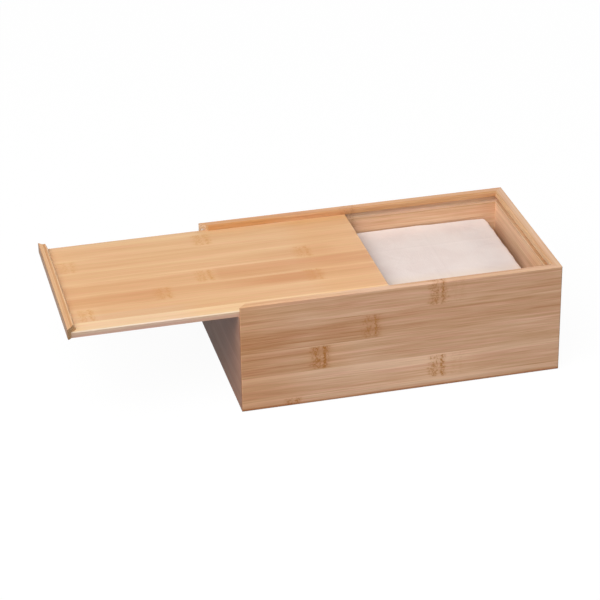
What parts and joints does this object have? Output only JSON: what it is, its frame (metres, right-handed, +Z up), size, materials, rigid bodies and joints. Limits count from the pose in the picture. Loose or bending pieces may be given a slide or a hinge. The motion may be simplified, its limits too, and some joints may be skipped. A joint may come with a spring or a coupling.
{
  "type": "tissue box with sliding panel",
  "caption": "Rectangular bamboo tissue box, slotted face down, its grooved sliding panel with mitred pull strip drawn half out over the folded tissues.",
  "frame": {"origin": "centre of the underside of the whole, panel drawn out: on the plane the box stands on, midway between the pull strip's outer face and the far end of the box", "axes": "+X along the box from the pull strip to the closed end, +Y from the front wall to the back wall, +Z up from the slotted face to the sliding panel"},
  "size_m": [0.3694, 0.145, 0.0872],
  "materials": {
    "bamboo_frame": "satin",
    "bamboo_board": "satin",
    "tissue": "matte"
  },
  "bodies": {
    "box": {"front_wall": "bamboo_frame", "back_wall": "bamboo_frame", "right_end_wall": "bamboo_frame", "left_end_wall": "bamboo_frame", "slot_board": "bamboo_board", "tissue_stack": "tissue"},
    "panel": {"sliding_panel": "bamboo_board", "pull_strip": "bamboo_frame"}
  },
  "joints": [
    {"name": "panel_slide", "type": "slide", "parent": "box", "child": "panel", "axis": [-1, 0, 0], "range_m": [-0.1243, 0.12]}
  ]
}
